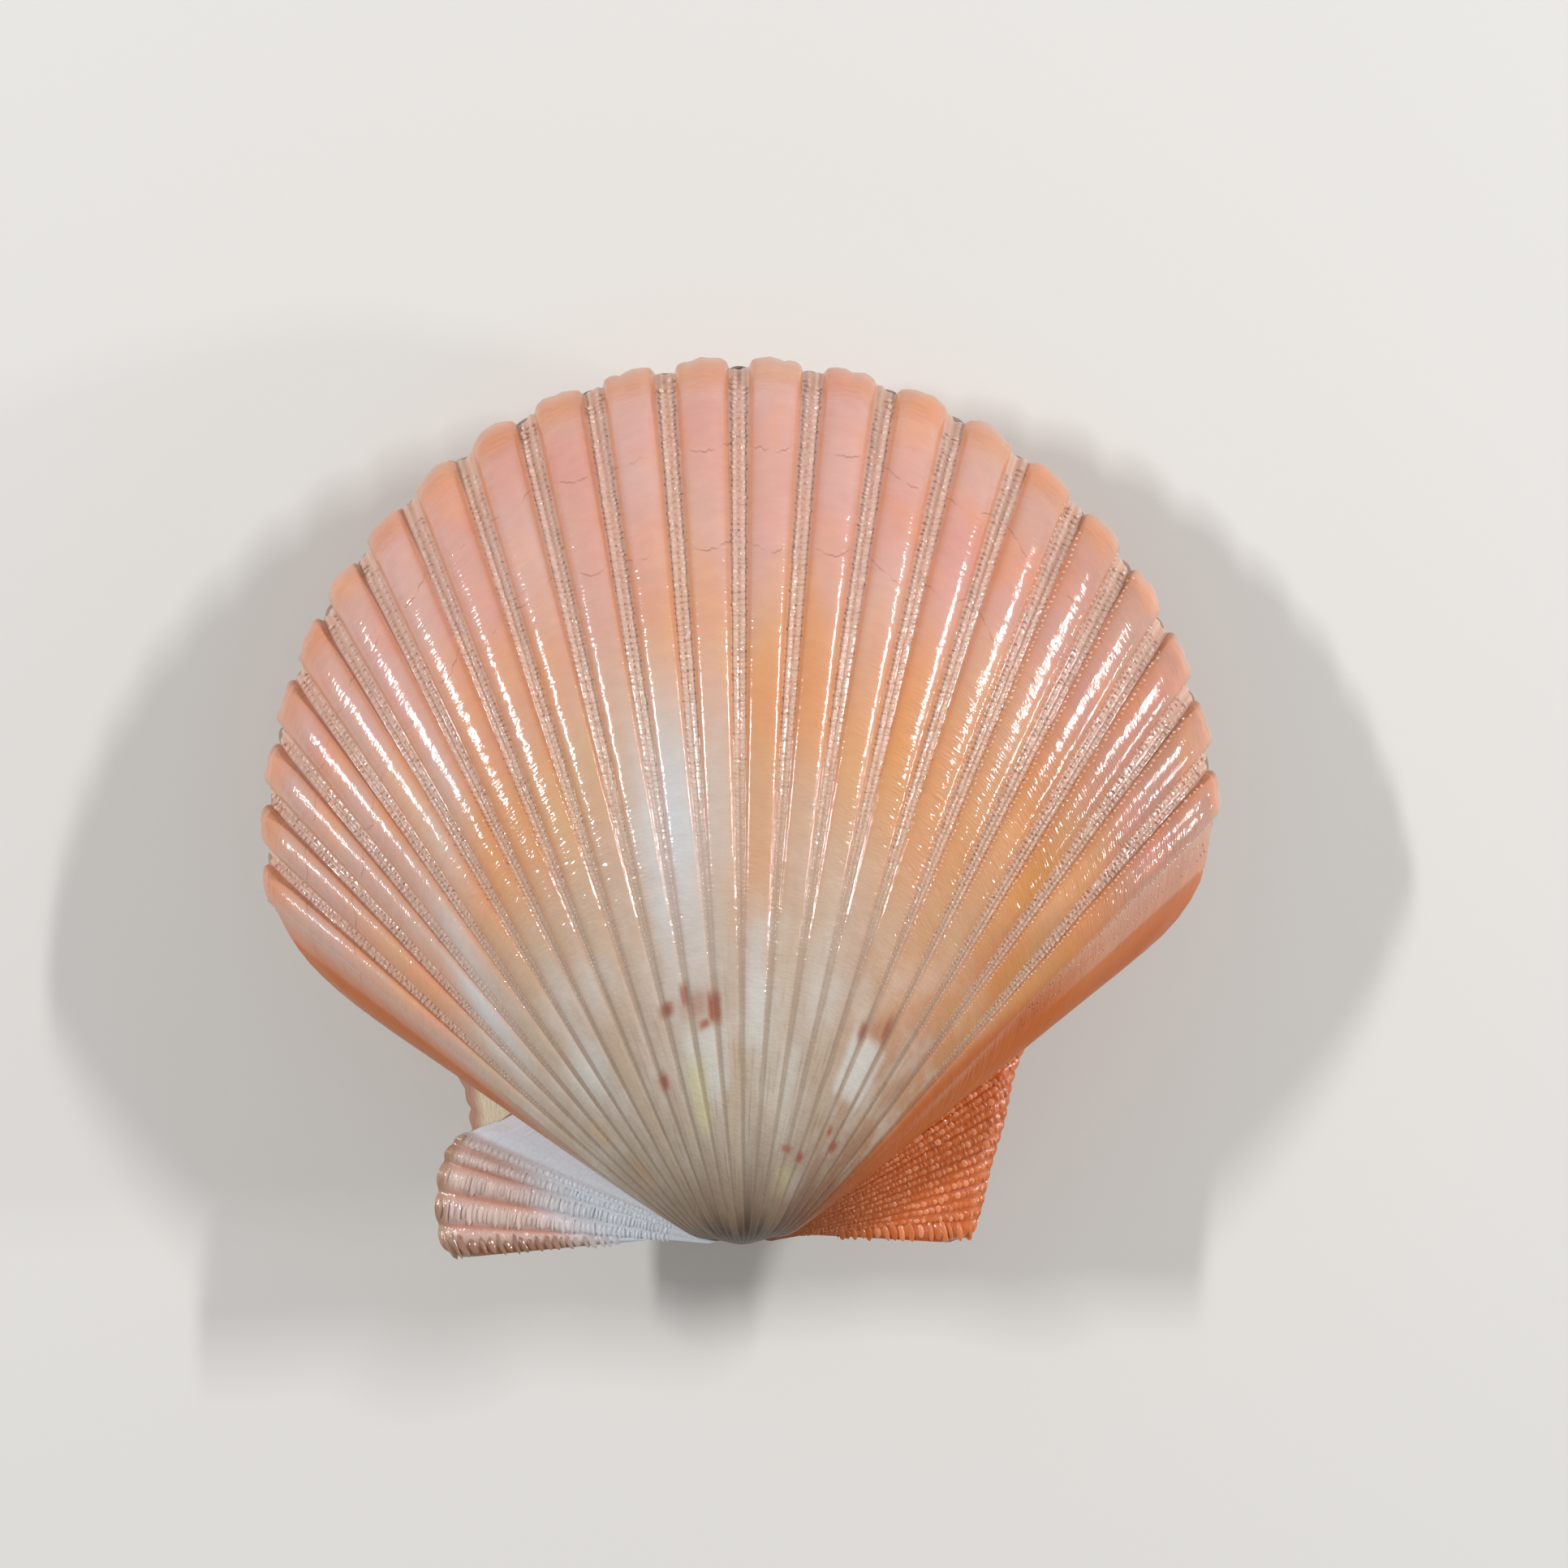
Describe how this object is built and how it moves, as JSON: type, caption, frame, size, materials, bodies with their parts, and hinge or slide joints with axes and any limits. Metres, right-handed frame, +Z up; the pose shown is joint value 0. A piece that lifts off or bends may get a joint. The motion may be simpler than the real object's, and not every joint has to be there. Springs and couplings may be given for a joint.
{
  "type": "scallop shell",
  "caption": "Closed scallop shell with broad smooth ribs, a crenulated edge, a notched front ear and a straight hinge, lying on its lower valve.",
  "frame": {"origin": "centre of the bounding box's bottom face, on the surface that the shell rests on", "axes": "+Z up, +Y from the hinge towards the free edge, +X along the hinge line towards the back ear, which has no notch"},
  "size_m": [0.0734, 0.0684, 0.0275],
  "materials": {
    "upper_shell": "gloss",
    "lower_shell": "gloss",
    "ligament": "satin"
  },
  "bodies": {
    "root": {"upper_valve": "upper_shell", "lower_valve": "lower_shell", "hinge_ligament": "ligament"}
  },
  "joints": []
}
